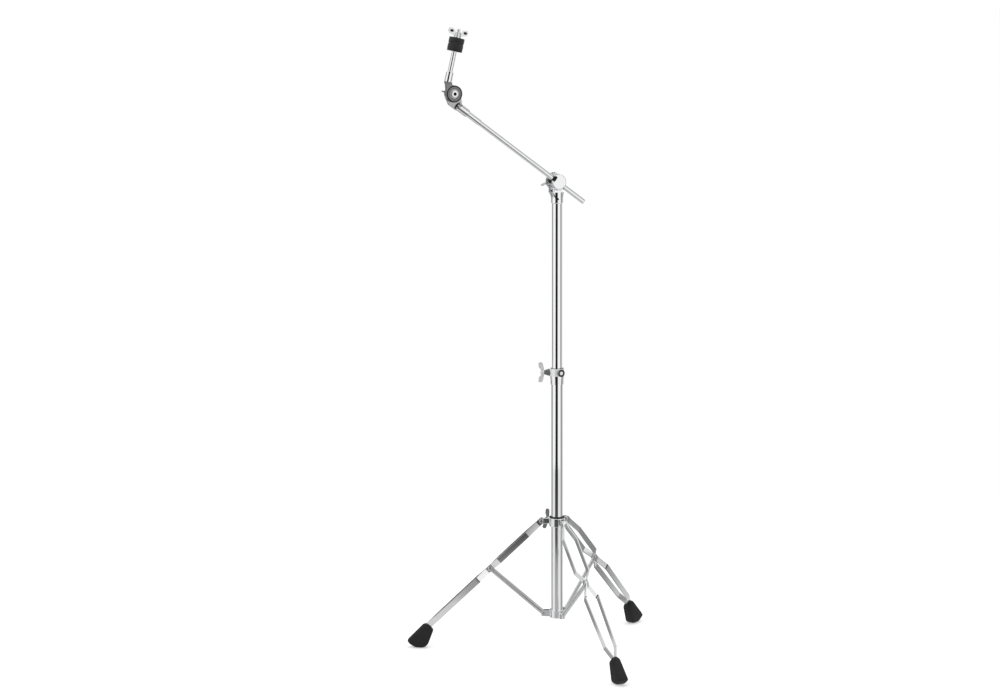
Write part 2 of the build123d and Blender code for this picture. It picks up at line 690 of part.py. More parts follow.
with BuildPart() as tilter_stud:
    disc(boom_frame, core_half, stud_end, stem_r)
    chamfer(tilter_stud.edges().sort_by(Axis(boom_frame.origin, boom_frame.z_dir))[-1], 0.8)

tilter_stud.part.label = "tilter_stud"
export_step(tilter_stud.part, "parts/tilter_stud.step")

nut_frame = turned(boom_frame, tilter_nut_turn)
with BuildPart() as tilter_wing_nut:
    start = rear_disc_back + body_gap
    cone(nut_frame, start, start + bolt_hub_length + 2, bolt_hub_r + 2.5, bolt_hub_r + 0.5)
    wing_pair(nut_frame, start + 1, wing_blade, tilter_nut_span)
    disc(nut_frame, start, start + wing_blade + 4, stem_r + running_gap, mode=Mode.SUBTRACT)

tilter_wing_nut.part.label = "tilter_wing_nut"
export_step(tilter_wing_nut.part, "parts/tilter_wing_nut.step")

with BuildPart() as boom_liner:
    disc(boom_axis_frame, -liner_half, liner_half, liner_r)
    disc(boom_axis_frame, -liner_half, liner_half, boom_r + running_gap, mode=Mode.SUBTRACT)

boom_liner.part.label = "boom_liner"
export_step(boom_liner.part, "parts/boom_liner.step")

# ---------------------------------------------------------------- boom
with BuildPart() as boom_rod:
    disc(boom_axis_frame, boom_tail, boom_head, boom_r)
    disc(boom_axis_frame, boom_tail, boom_head, boom_r - boom_wall, mode=Mode.SUBTRACT)
    for index in range(boom_mark_count):
        mark = boom_frame.from_local_coords((boom_mark_first + index * boom_mark_pitch, 0, 0))
        sink = boom_r + boom_mark_r - boom_mark_depth
        cut = Plane(origin=mark, x_dir=boom_frame.x_dir, z_dir=boom_frame.z_dir)
        with BuildSketch(cut) as dimple:
            with Locations((0, -sink)):
                Circle(boom_mark_r)
        extrude(dimple.sketch, amount=boom_r, both=True, mode=Mode.SUBTRACT)

boom_rod.part.label = "boom_rod"
export_step(boom_rod.part, "parts/boom_rod.step")

with BuildPart() as boom_cap:
    disc(boom_axis_frame, boom_tail - cap_flange, boom_tail, boom_r)
    fillet(boom_cap.edges().sort_by(Axis(boom_frame.origin, boom_frame.x_dir))[0], 1)
    disc(boom_axis_frame, boom_tail, boom_tail + cap_length, boom_r - boom_wall)

boom_cap.part.label = "boom_cap"
export_step(boom_cap.part, "parts/boom_cap.step")

with BuildPart() as boom_sleeve:
    disc(boom_axis_frame, boom_sleeve_from, ferrule_from, boom_sleeve_r)
    chamfer(boom_sleeve.edges().sort_by(Axis(boom_frame.origin, boom_frame.x_dir))[0], 0.5)
    disc(boom_axis_frame, boom_sleeve_from, ferrule_from, boom_r, mode=Mode.SUBTRACT)

boom_sleeve.part.label = "boom_sleeve"
export_step(boom_sleeve.part, "parts/boom_sleeve.step")

with BuildPart() as boom_arm:
    disc(boom_axis_frame, ferrule_from, ferrule_to, ferrule_r)
    chamfer(boom_arm.edges().sort_by(Axis(boom_frame.origin, boom_frame.x_dir))[0], 1.2)
    with BuildSketch(boom_frame.offset(arm_front)) as cheek:
        with Locations((arm_pivot_x, arm_pivot_y)):
            Circle(arm_disc_r)
        with Locations((arm_elbow_x, 0), (ferrule_to - 4, 0)):
            Circle(ferrule_r)
        make_hull()
    extrude(amount=arm_back - arm_front)
    pivot_frame = Plane(origin=arm_pivot, x_dir=boom_frame.x_dir, z_dir=boom_frame.z_dir)
    with BuildSketch(pivot_frame.offset(arm_front)):
        with PolarLocations(arm_disc_r, ratchet_teeth):
            Rectangle(2 * tooth_depth, 2.0)
    extrude(amount=2.2, mode=Mode.SUBTRACT)
    disc(boom_axis_frame, ferrule_from, boom_head, boom_r, mode=Mode.SUBTRACT)
    disc(pivot_frame, arm_front, arm_back, stem_r, mode=Mode.SUBTRACT)

boom_arm.part.label = "boom_arm"
export_step(boom_arm.part, "parts/boom_arm.step")

arm_bolt_end = arm_back + body_gap + wing_blade - 2
with BuildPart() as arm_bolt:
    head_start = -housing_front - body_gap
    disc(pivot_frame, head_start - arm_bolt_head_height, head_start, arm_bolt_head_r)
    fillet(arm_bolt.edges().sort_by(Axis(pivot_frame.origin, pivot_frame.z_dir))[0], 1.8)
    with BuildSketch(pivot_frame.offset(head_start - arm_bolt_head_height)):
        SlotOverall(*arm_bolt_slot, rotation=35)
    extrude(amount=2.4, mode=Mode.SUBTRACT)
    disc(pivot_frame, head_start, arm_bolt_end, stem_r)

arm_bolt.part.label = "arm_bolt"
export_step(arm_bolt.part, "parts/arm_bolt.step")

arm_nut_frame = turned(pivot_frame, arm_nut_turn)
with BuildPart() as arm_wing_nut:
    start = arm_back + body_gap
    cone(arm_nut_frame, start, start + bolt_hub_length, bolt_hub_r + 1.5, bolt_hub_r)
    wing_pair(arm_nut_frame, start + 1, wing_blade - 1, arm_nut_span)
    disc(arm_nut_frame, start, start + wing_blade + 4, stem_r + running_gap, mode=Mode.SUBTRACT)

arm_wing_nut.part.label = "arm_wing_nut"
export_step(arm_wing_nut.part, "parts/arm_wing_nut.step")

# ---------------------------------------------------------------- cymbal post
post_frame = axis_frame(head_frame, 0, -post_offset)
with BuildPart() as post_housing:
    with BuildSketch(head_frame.offset(-housing_front)):
        Circle(arm_disc_r)
        reach = hypot(housing_top, post_offset + housing_neck_half)
        swing = atan2(-post_offset - housing_neck_half, housing_top) - acos(arm_disc_r / reach)
        touch = (arm_disc_r * cos(swing), arm_disc_r * sin(swing))
        Polygon(
            (housing_top, -post_offset - housing_neck_half),
            (housing_top, -post_offset + housing_neck_half),
            (housing_top - 5, -post_offset + housing_neck_half + 1.5),
            (0, 0), touch, align=None,
        )
    extrude(amount=housing_front + arm_front - body_gap)
    fillet(post_housing.faces().sort_by(Axis(head_frame.origin, head_frame.z_dir))[0].edges(), 1.2)
    disc(post_frame, housing_socket_from, housing_top, housing_neck_half)
    with BuildSketch(head_frame.offset(-housing_front)):
        Circle(arm_disc_r - 4)
        Circle(arm_bolt_head_r + 1, mode=Mode.SUBTRACT)
    extrude(amount=1, mode=Mode.SUBTRACT)
    disc(post_frame, post_from, housing_top, post_r, mode=Mode.SUBTRACT)
    disc(head_frame, -housing_front, arm_front, stem_r + running_gap, mode=Mode.SUBTRACT)

post_housing.part.label = "post_housing"
export_step(post_housing.part, "parts/post_housing.step")

with BuildPart() as post_sleeve:
    cone(post_frame, housing_top, post_sleeve_top, post_sleeve_r, post_sleeve_top_r)
    chamfer(post_sleeve.edges().sort_by(Axis(head_frame.origin, head_frame.x_dir))[-1], 0.8)
    disc(post_frame, housing_top, post_sleeve_top, post_r, mode=Mode.SUBTRACT)

post_sleeve.part.label = "post_sleeve"
export_step(post_sleeve.part, "parts/post_sleeve.step")

with BuildPart() as post_rod:
    disc(post_frame, post_from, thread_from, post_r)
    disc(post_frame, thread_from, post_end, thread_r)
    chamfer(post_rod.edges().sort_by(Axis(head_frame.origin, head_frame.x_dir))[-1], 1)
    with BuildSketch(post_frame.offset(tip_from)) as relief:
        Circle(thread_r)
        Circle(relief_r, mode=Mode.SUBTRACT)
    extrude(relief.sketch, amount=-relief_width, mode=Mode.SUBTRACT)

post_rod.part.label = "post_rod"
export_step(post_rod.part, "parts/post_rod.step")

with BuildPart() as seat_washer:
    disc(post_frame, thread_from, felt_from, seat_washer_r)
    chamfer(seat_washer.edges().sort_by(Axis(head_frame.origin, head_frame.x_dir))[0], 1.2)
    disc(post_frame, thread_from, felt_from, thread_r, mode=Mode.SUBTRACT)

seat_washer.part.label = "seat_washer"
export_step(seat_washer.part, "parts/seat_washer.step")

with BuildPart() as cymbal_sleeve:
    disc(post_frame, felt_from, felt_top, cymbal_sleeve_r)
    disc(post_frame, felt_from, felt_top, thread_r, mode=Mode.SUBTRACT)

cymbal_sleeve.part.label = "cymbal_sleeve"
export_step(cymbal_sleeve.part, "parts/cymbal_sleeve.step")

for index, place in enumerate(("lower", "upper")):
    low = felt_from + index * felt_height
    with BuildPart() as felt:
        disc(post_frame, low, low + felt_height, felt_r)
        fillet(felt.edges().filter_by(GeomType.CIRCLE), felt_corner)
        disc(post_frame, low, low + felt_height, cymbal_sleeve_r, mode=Mode.SUBTRACT)

    felt.part.label = f"felt_{place}"
    export_step(felt.part, f"parts/felt_{place}.step")

cymbal_nut_frame = axis_frame(head_frame, 0, -post_offset, cymbal_nut_turn)
with BuildPart() as cymbal_wing_nut:
    start = felt_top + body_gap
    cone(cymbal_nut_frame, start, start + cymbal_nut_height, bolt_hub_r + 3, bolt_hub_r + 0.5)
    low = start + cymbal_wing_rise
    wing_pair(cymbal_nut_frame, low, cymbal_nut_blade, cymbal_nut_span)
    wing_pockets(cymbal_nut_frame, low, cymbal_nut_blade, cymbal_nut_span)
    disc(cymbal_nut_frame, start, low + cymbal_nut_blade, thread_r + running_gap,
         mode=Mode.SUBTRACT)

cymbal_wing_nut.part.label = "cymbal_wing_nut"
export_step(cymbal_wing_nut.part, "parts/cymbal_wing_nut.step")
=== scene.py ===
"""Looks, felts and light of a chrome cymbal boom stand, in the frame of its CAD part, in metres."""
import json
import math

import bpy
import bmesh
from mathutils import Matrix, Vector, noise


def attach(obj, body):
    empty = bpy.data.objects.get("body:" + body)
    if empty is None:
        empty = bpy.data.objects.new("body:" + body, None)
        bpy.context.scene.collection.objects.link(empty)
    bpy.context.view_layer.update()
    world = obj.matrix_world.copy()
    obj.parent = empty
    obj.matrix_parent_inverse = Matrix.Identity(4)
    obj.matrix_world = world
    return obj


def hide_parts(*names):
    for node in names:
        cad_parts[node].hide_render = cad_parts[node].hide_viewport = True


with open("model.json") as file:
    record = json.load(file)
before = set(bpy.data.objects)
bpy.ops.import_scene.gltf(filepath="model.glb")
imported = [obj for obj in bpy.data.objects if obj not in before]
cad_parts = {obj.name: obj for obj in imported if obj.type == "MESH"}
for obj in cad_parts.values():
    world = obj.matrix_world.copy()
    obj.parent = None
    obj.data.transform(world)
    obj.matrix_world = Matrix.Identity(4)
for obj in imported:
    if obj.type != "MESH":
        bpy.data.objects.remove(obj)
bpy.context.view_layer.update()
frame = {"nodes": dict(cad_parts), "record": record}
nodes = frame["nodes"]
scene = bpy.context.scene
scene.view_settings.view_transform = "Standard"

# ------------------------------------------------------------------ camera
# A long lens 7.2 m away, looking down 9.1 degrees: 3000 px of focal length to 1000 px of width.
FOCAL_PX, IMAGE_W = 3000.0, 1000.0
SENSOR_MM = 36.0
CLIP_END = 100.0
# the camera's place, before it is turned about the column
CAM_SIDE, CAM_BACK, CAM_HEIGHT = -0.13211, -7.18198, 1.90231
TURN = math.radians(5.8)
HEADING = math.radians(5.848)
PITCH = math.radians(9.09)
ROLL = -0.003

cam_data = bpy.data.cameras.new("camera")
cam_data.sensor_width = SENSOR_MM
cam_data.sensor_fit = "HORIZONTAL"
cam_data.lens = SENSOR_MM * FOCAL_PX / IMAGE_W
cam_data.clip_end = CLIP_END
cam = bpy.data.objects.new("camera", cam_data)
scene.collection.objects.link(cam)
cam_place = Vector((
    CAM_SIDE * math.cos(TURN) - CAM_BACK * math.sin(TURN),
    CAM_SIDE * math.sin(TURN) + CAM_BACK * math.cos(TURN),
    CAM_HEIGHT,
))
cam.matrix_world = (
    Matrix.Translation(cam_place) @ Matrix.Rotation(HEADING, 4, "Z")
    @ Matrix.Rotation(math.pi / 2 - PITCH, 4, "X") @ Matrix.Rotation(ROLL, 4, "Z")
)
scene.camera = cam

# ------------------------------------------------------------------ places on the stand
UP = Vector((0.0, 0.0, 1.0))
ORIGIN = Vector((0.0, 0.0, 0.0))

BOOM_AZIMUTH = math.radians(208.8)
BOOM_SLOPE = math.radians(36.46)
POST_LEAN = math.radians(13.17)
TILTER_Z = 1.159
# the arm's pivot lies this far from the tilter, along the boom and above its axis
ARM_ALONG, ARM_ABOVE = 0.3452, 0.0175
# and the post's axis this far from the pivot
POST_OFFSET = 0.020


def in_boom_plane(angle):
    """Unit vector in the boom's vertical plane, at an angle above the horizontal."""
    level = math.cos(angle)
    return Vector((
        math.cos(BOOM_AZIMUTH) * level, math.sin(BOOM_AZIMUTH) * level, math.sin(angle),
    ))


rearward = Vector((math.sin(BOOM_AZIMUTH), -math.cos(BOOM_AZIMUTH), 0.0))
arm_pivot = (
    Vector((0.0, 0.0, TILTER_Z)) + in_boom_plane(BOOM_SLOPE) * ARM_ALONG
    + in_boom_plane(BOOM_SLOPE + math.pi / 2) * ARM_ABOVE
)
post_up = in_boom_plane(math.pi / 2 + POST_LEAN)
post_side = rearward.cross(post_up)
post_base = arm_pivot - post_side * POST_OFFSET

# Marks on surfaces, most of them painted shade, highlights and reflections. Pairs of numbers are
# the start and the end of a soft edge.
# height clamp: satin band above, a dark reflection painted on the bolt neck away from the column,
# painted shade in a ring round the boss
CLAMP_BOLT_Z = 0.6945
CLAMP_BAND_Z, CLAMP_BAND_SOFT = 0.6855, 0.001
CLAMP_BAND_METALLIC = 0.2
CLAMP_BOSS_AZIMUTH = math.radians(307)
CLAMP_NECK_R = (0.0180, 0.0190)
CLAMP_NECK_X = (-0.010, -0.012)
CLAMP_SHADE_RING_IN = (0.0040, 0.0050)
CLAMP_SHADE_RING_OUT = (0.0088, 0.0094)
CLAMP_SHADE_RING_Y = (-0.006, -0.008)
# legs: the pinched flat below the mid-leg pivot, painted pale as a highlight, and the fold below
# that, painted dark as shade
LEG_SLOPE = math.radians(43.9)
MID_LEG_R, MID_LEG_Z = 0.1644, 0.2040
FLAT_DOWN, FLAT_HALF, FLAT_SOFT = 0.022, 0.015, 0.002
FOLD_DOWN, FOLD_HALF, FOLD_SOFT = 0.0405, 0.0012, 0.0006
# arm: painted grey reflection on the cast neck, painted shade in the hexagon socket of its bolt,
# painted reflections and shade on the rings of the post's housing
NECK_REACH, NECK_SOFT = 0.034, 0.002
SOCKET_R = 0.0042
HOUSING_R = 0.020
# cymbal nut: one pocket in each wing, painted dark as shade
POCKET_FLOOR = 0.00135
POCKET_OUT, POCKET_HALF_W = 0.01734, 0.0045
POCKET_UP, POCKET_HALF_H = 0.14436, 0.0030
POCKET_SOFT = 0.0002


# ------------------------------------------------------------------ nodes
class Nodes:
    """Builds a node tree. Values and marks are passed on as output sockets."""

    def __init__(self, tree):
        self.tree = tree

    def add(self, kind, **values):
        """A new node. Each value is a setting of the node, or else of its socket by that name."""
        node = self.tree.nodes.new(kind)
        for key, value in values.items():
            if hasattr(node, key):
                setattr(node, key, value)
            else:
                node.inputs[key.replace("_", " ")].default_value = value
        return node

    def link(self, source, socket):
        self.tree.links.new(source, socket)

    def math(self, operation, a, b=None):
        node = self.add("ShaderNodeMath", operation=operation)
        for socket, value in zip(node.inputs, (a, b)):
            if isinstance(value, (int, float)):
                socket.default_value = value
            elif value is not None:
                self.link(value, socket)
        return node.outputs[0]

    def product(self, first, *others):
        for other in others:
            first = self.math("MULTIPLY", first, other)
        return first

    def vector(self, operation, a, b=None):
        """A vector node, with its second vector given as numbers."""
        node = self.add("ShaderNodeVectorMath", operation=operation)
        self.link(a, node.inputs[0])
        if b is not None:
            node.inputs[1].default_value = b
        return node.outputs

    def step(self, source, start, end, low=0.0, high=1.0):
        """Smooth step of a value: low at start, high at end."""
        node = self.add("ShaderNodeMapRange", interpolation_type="SMOOTHSTEP", From_Min=start,
                        From_Max=end, To_Min=low, To_Max=high)
        self.link(source, node.inputs["Value"])
        return node.outputs["Result"]

    def within(self, value, middle, half, soft):
        """1 where a value lies within half of a middle, 0 beyond it."""
        away = self.math("ABSOLUTE", self.math("SUBTRACT", value, middle))
        return self.step(away, half, half + soft, 1.0, 0.0)

    def ramp(self, source, stops):
        """Colours by a value, from stops of a place with a grey or a colour."""
        ramp = self.add("ShaderNodeValToRGB")
        elements = ramp.color_ramp.elements
        while len(elements) < len(stops):
            elements.new(0.5)
        for element, (position, tone) in zip(elements, stops):
            element.position = position
            element.color = (*(tone if isinstance(tone, (tuple, list)) else (tone,) * 3), 1.0)
        self.link(source, ramp.inputs["Fac"])
        return ramp.outputs["Color"]

    def mix(self, factor, a, b):
        node = self.add("ShaderNodeMix", data_type="RGBA")
        self.link(factor, node.inputs["Factor"])
        self.link(a, node.inputs[6])
        self.link(b, node.inputs[7])
        return node.outputs[2]

    def mix_shaders(self, factor, a, b):
        node = self.add("ShaderNodeMixShader")
        self.link(factor, node.inputs["Fac"])
        self.link(a, node.inputs[1])
        self.link(b, node.inputs[2])
        return node.outputs[0]

    def colour(self, red, green, blue):
        node = self.add("ShaderNodeRGB")
        node.outputs[0].default_value = (red, green, blue, 1.0)
        return node.outputs[0]

    def bump(self, source, strength, distance, after=None):
        node = self.add("ShaderNodeBump", Strength=strength, Distance=distance)
        self.link(source, node.inputs["Height"])
        if after is not None:
            self.link(after, node.inputs["Normal"])
        return node.outputs["Normal"]

    def place(self):
        """Object coordinates: the frame's own at rest, and they ride with a piece that moves."""
        return self.add("ShaderNodeTexCoord").outputs["Object"]

    def parts(self, source):
        """The outputs X, Y and Z of a vector."""
        node = self.add("ShaderNodeSeparateXYZ")
        self.link(source, node.inputs[0])
        return node.outputs

    def off_axis(self, centre, axis):
        """Distance of a place from a line."""
        apart = self.vector("SUBTRACT", self.place(), centre)["Vector"]
        return self.vector("LENGTH", self.vector("CROSS_PRODUCT", apart, axis)["Vector"])["Value"]

    def along_axis(self, centre, axis):
        """How far a place lies from a centre along a direction."""
        apart = self.vector("SUBTRACT", self.place(), centre)["Vector"]
        return self.vector("DOT_PRODUCT", apart, axis)["Value"]


class Mat(Nodes):
    """A node material round one Principled BSDF."""

    def __init__(self, name, **values):
        self.mat = bpy.data.materials.new(name)
        self.mat.use_nodes = True
        super().__init__(self.mat.node_tree)
        self.bsdf = self.tree.nodes["Principled BSDF"]
        for key, value in values.items():
            self.bsdf.inputs[key.replace("_", " ")].default_value = value

    def feed(self, name, source):
        """Joins a source to a socket of the BSDF, in place of the one before."""
        self.link(source, self.bsdf.inputs[name])

    def base_colour(self):
        return self.bsdf.inputs["Base Color"].links[0].from_socket

    def noise(self, scale, detail=4.0, rough=0.55, stretch=(1, 1, 1)):
        mapping = self.add("ShaderNodeMapping", Scale=stretch)
        self.link(self.place(), mapping.inputs["Vector"])
        tex = self.add("ShaderNodeTexNoise", Scale=scale, Detail=detail, Roughness=rough)
        self.link(mapping.outputs["Vector"], tex.inputs["Vector"])
        return tex.outputs["Fac"]

    def span(self, source, low, high):
        """Spreads a value from 0 to 1 over a range."""
        node = self.add("ShaderNodeMapRange", To_Min=low, To_Max=high)
        self.link(source, node.inputs["Value"])
        return node.outputs["Result"]


# ------------------------------------------------------------------ painted light and shade by place
def socket_shade_mask(m):
    """The hexagon socket in the middle of the arm bolt, a near-black disc of painted shade for its
    recess.
    """
    return m.step(m.off_axis(arm_pivot, rearward), SOCKET_R * 0.85, SOCKET_R * 1.1, 1.0, 0.0)


def pocket_shade_mask(m):
    """The pressed pockets in the wings of the cymbal nut, painted near-black as the shade in them.
    """
    deep = m.within(m.along_axis(post_base, rearward), 0.0, POCKET_FLOOR, POCKET_SOFT)
    aside = m.math("ABSOLUTE", m.along_axis(post_base, post_side))
    out = m.within(aside, POCKET_OUT, POCKET_HALF_W, POCKET_SOFT)
    up = m.within(m.along_axis(post_base, post_up), POCKET_UP, POCKET_HALF_H, POCKET_SOFT)
    return m.product(deep, out, up)


def neck_reflection_mask(m):
    """The arm's cast neck, beside the ferrule that the sleeve goes into, where a grey reflection is
    painted.
    """
    away = m.off_axis(arm_pivot, rearward)
    return m.step(away, NECK_REACH, NECK_REACH + NECK_SOFT, 1.0, 0.0)


def down_the_leg(m):
    """Distance down a leg from its mid-leg pivot."""
    out = m.math("SUBTRACT", m.off_axis(ORIGIN, UP), MID_LEG_R)
    down = m.math("SUBTRACT", MID_LEG_Z, m.parts(m.place())["Z"])
    return m.math("ADD", m.product(out, math.cos(LEG_SLOPE)),
                  m.product(down, math.sin(LEG_SLOPE)))


def flat_highlight_mask(m):
    """The pinched flat below the mid-leg pivot, where the strip is painted pale as a highlight."""
    return m.within(down_the_leg(m), FLAT_DOWN, FLAT_HALF, FLAT_SOFT)


def fold_shade_mask(m):
    """The fold where the two strips part again below that flat, painted dark as shade in the
    crease.
    """
    return m.within(down_the_leg(m), FOLD_DOWN, FOLD_HALF, FOLD_SOFT)


def toned(m, mask, tone):
    """Paints a grey tone of light and shade into a material where the mask is 1."""
    grey = m.colour(tone, tone, tone * 1.01)
    m.feed("Base Color", m.mix(mask(m), m.base_colour(), grey))
    return m


def marked_clamp(m):
    """The height clamp's painted dark reflection on its bolt neck, painted shade in a ring round
    its boss, and its satin upper band.
    """
    boss_way = Vector((math.cos(CLAMP_BOSS_AZIMUTH), math.sin(CLAMP_BOSS_AZIMUTH), 0.0))
    from_boss = m.off_axis((0.0, 0.0, CLAMP_BOLT_Z), boss_way)
    from_column = m.off_axis(ORIGIN, UP)
    where = m.parts(m.place())
    # painted dark reflection on the bolt neck, and painted shade in a ring round the boss
    neck = m.product(m.step(from_column, *CLAMP_NECK_R), m.step(where["X"], *CLAMP_NECK_X))
    shade_ring = m.product(m.step(from_boss, *CLAMP_SHADE_RING_IN),
                       m.step(from_boss, *CLAMP_SHADE_RING_OUT, 1.0, 0.0),
                       m.step(where["Y"], *CLAMP_SHADE_RING_Y))
    neck_painted_dark = m.mix(neck, m.base_colour(), m.colour(0.12, 0.12, 0.125))
    m.feed("Base Color", m.mix(shade_ring, neck_painted_dark, m.colour(0.015, 0.015, 0.015)))
    m.feed("Metallic", m.step(where["Z"], CLAMP_BAND_Z, CLAMP_BAND_Z + CLAMP_BAND_SOFT,
                              1.0, CLAMP_BAND_METALLIC))
    return m


# ------------------------------------------------------------------ materials
def shaded(colour, factor):
    return [c * factor for c in colour]


def chrome(name, tint, rough, wear=0.02, peel=0.0, metallic=1.0):
    """Chrome with a faint haze, smears that are rougher by wear, and the dimples of a casting."""
    m = Mat(name, Metallic=metallic, Roughness=rough)
    haze = m.noise(scale=9.0, detail=3.0)
    m.feed("Base Color", m.ramp(haze, [(0.35, tint), (0.75, shaded(tint, 0.965))]))
    smear = m.noise(scale=38.0, detail=5.0, rough=0.6, stretch=(1, 1, 0.35))
    m.feed("Roughness", m.span(smear, rough * 0.7, rough + wear))
    if peel:
        m.feed("Normal", m.bump(m.noise(scale=60.0, detail=2.0), peel, distance=0.0003))
    return m


def satin_steel(name):
    m = Mat(name, Metallic=1.0)
    grain = m.noise(scale=420.0, detail=4.0, rough=0.6, stretch=(1, 1, 0.25))
    m.feed("Base Color", m.ramp(grain, [(0.3, (0.55, 0.55, 0.56)), (0.7, (0.70, 0.70, 0.71))]))
    m.feed("Roughness", m.span(grain, 0.16, 0.32))
    m.feed("Normal", m.bump(grain, strength=0.12, distance=0.0003))
    return m


def casting(name, colour):
    m = Mat(name, Metallic=0.75, Roughness=0.34)
    grain = m.noise(scale=260.0, detail=5.0, rough=0.62)
    cloud = m.noise(scale=40.0, detail=3.0)
    m.feed("Base Color", m.ramp(cloud, [(0.3, shaded(colour, 0.8)), (0.7, shaded(colour, 1.25))]))
    m.feed("Roughness", m.span(grain, 0.26, 0.42))
    m.feed("Normal", m.bump(grain, strength=0.22, distance=0.0004))
    return m


def ringed_casting(name, colour, centre, axis, rings, reach):
    """A casting turned about an axis, its tones given ring by ring as shares of a reach; the tones
    are painted reflections and shade.
    """
    m = casting(name, colour)
    tones = m.ramp(m.math("DIVIDE", m.off_axis(centre, axis), reach), rings)
    m.feed("Base Color", tones)
    m.feed("Normal", m.bump(tones, strength=0.5, distance=0.0006))
    return m


def satin_wing(name):
    """Tumbled chrome that looks pale from every side."""
    m = Mat(name, Metallic=0.3, Roughness=0.4)
    cloud = m.noise(scale=60.0, detail=3.0)
    m.feed("Base Color", m.ramp(cloud, [(0.3, (0.80, 0.80, 0.81)), (0.7, (0.88, 0.88, 0.89))]))
    return m


def plastic(name, colour, rough=0.42):
    m = Mat(name, Specular_IOR_Level=0.4)
    grain = m.noise(scale=700.0, detail=3.0)
    m.feed("Base Color", m.ramp(grain, [(0.3, colour), (0.7, shaded(colour, 1.35))]))
    m.feed("Roughness", m.span(grain, rough - 0.06, rough + 0.1))
    m.feed("Normal", m.bump(grain, strength=0.15, distance=0.0002))
    return m


def rubber(name):
    m = Mat(name, Specular_IOR_Level=0.35)
    dust = m.noise(scale=45.0, detail=6.0, rough=0.65)
    grain = m.noise(scale=900.0, detail=3.0)
    m.feed("Base Color",
           m.ramp(dust, [(0.25, (0.007, 0.007, 0.0075)), (0.8, (0.019, 0.019, 0.020))]))
    m.feed("Roughness", m.span(dust, 0.5, 0.78))
    coarse = m.bump(m.noise(scale=160.0, detail=3.0), strength=0.25, distance=0.0005)
    m.feed("Normal", m.bump(grain, strength=0.3, distance=0.0003, after=coarse))
    return m


def felt(name):
    m = Mat(name, Specular_IOR_Level=0.15, Roughness=0.95, Sheen_Weight=0.5, Sheen_Roughness=0.6,
            Sheen_Tint=(0.45, 0.45, 0.46, 1.0))
    fibre = m.noise(scale=1100.0, detail=6.0, rough=0.75)
    clump = m.noise(scale=210.0, detail=4.0, rough=0.6)
    wool = m.product(fibre, clump)
    m.feed("Base Color",
           m.ramp(wool, [(0.1, (0.006, 0.006, 0.007)), (0.45, (0.040, 0.040, 0.042))]))
    m.feed("Normal", m.bump(wool, strength=0.9, distance=0.0012))
    return m


# rings of the post's housing: the pale rings are painted reflections, the near-black rings painted
# shade
HOUSING_LIGHT_RINGS = [(0.42, 0.55), (0.55, 0.48), (0.60, 0.05), (0.66, 0.20), (0.80, 0.26),
                 (0.88, 0.012), (0.985, 0.010), (1.0, 0.24)]
CHROME = chrome("chrome", (0.93, 0.935, 0.945), rough=0.045)
CHROME_CAST = chrome("chrome_cast", (0.90, 0.905, 0.915), rough=0.10, wear=0.05, peel=0.04)
CHROME_WING = chrome("chrome_wing", (0.88, 0.885, 0.895), rough=0.34, wear=0.08, peel=0.10)
CHROME_STRIP = chrome("chrome_strip", (0.78, 0.785, 0.79), rough=0.16, wear=0.06)
# painted highlight on the pinched flat, and painted shade in the fold, of the leg strips
toned(CHROME_STRIP, flat_highlight_mask, 0.98)
toned(CHROME_STRIP, fold_shade_mask, 0.06)
CHROME_STRUT = chrome("chrome_strut", (0.90, 0.905, 0.91), rough=0.5, wear=0.06, metallic=0.7)
STEEL = satin_steel("steel")
DARK_STEEL = casting("dark_steel", (0.03, 0.03, 0.032))
CASTING = ringed_casting("casting", (0.13, 0.13, 0.135), arm_pivot, rearward, HOUSING_LIGHT_RINGS,
                         HOUSING_R)
CHROME_ARM = chrome("chrome_arm", (0.86, 0.865, 0.87), rough=0.10, wear=0.05, peel=0.02)
# painted grey reflection on the arm's cast neck
toned(CHROME_ARM, neck_reflection_mask, 0.42)
# chrome painted darker, as shade and dark reflections, for the arm wing nut and the collar wing
# bolt
CHROME_PAINTED_DARK = chrome("chrome_painted_dark", (0.30, 0.30, 0.31), rough=0.34, wear=0.08, peel=0.10)
# painted shade: near-black disc where the bolt's hexagon socket is
SOCKET_BOLT = toned(chrome("socket_bolt", (0.90, 0.905, 0.915), rough=0.12), socket_shade_mask, 0.012)
CHROME_NUT = chrome("chrome_nut", (0.78, 0.785, 0.79), rough=0.22, wear=0.05, peel=0.06)
# painted shade in the pockets of the nut's wings
toned(CHROME_NUT, pocket_shade_mask, 0.02)
SATIN = satin_wing("satin")
CHROME_CLAMP = chrome("chrome_clamp", (0.90, 0.905, 0.915), rough=0.10, wear=0.05, peel=0.04)
marked_clamp(CHROME_CLAMP)
NYLON = plastic("nylon", (0.012, 0.012, 0.013))
RUBBER = rubber("rubber")
FELT = felt("felt")

BY_SLOT = {
    "chrome": CHROME, "steel": STEEL, "dark_steel": DARK_STEEL, "casting": CASTING,
    "nylon": NYLON, "rubber": RUBBER, "felt": FELT,
}
BY_NAME = {
    "lower_hub": CHROME_CAST, "leg_collar": CHROME_CAST, "tilter_barrel": CHROME_CAST,
    "boom_arm": CHROME_ARM, "arm_bolt": SOCKET_BOLT, "arm_wing_nut": CHROME_PAINTED_DARK,
    "collar_wing_bolt": CHROME_PAINTED_DARK, "height_wing_bolt": SATIN, "height_clamp": CHROME_CLAMP,
    "cymbal_wing_nut": CHROME_NUT, "tilter_wing_nut": CHROME_WING,
    "strut_front": CHROME_STRUT, "strut_left": CHROME_STRUT, "strut_rear": CHROME_STRUT,
}
slots = {s["node"]: s["material_slot"] for s in frame["record"]["subparts"]}

# ------------------------------------------------------------------ dressing the solids
TUBES = ("base_tube", "upper_tube", "boom_rod", "boom_sleeve", "post_rod", "post_sleeve")
SHARP = math.radians(32.0)
EDGE_WIDTH = 0.0004
WELD = 0.00001
FOOT_CELL, FOOT_PASSES = 0.0015, 46


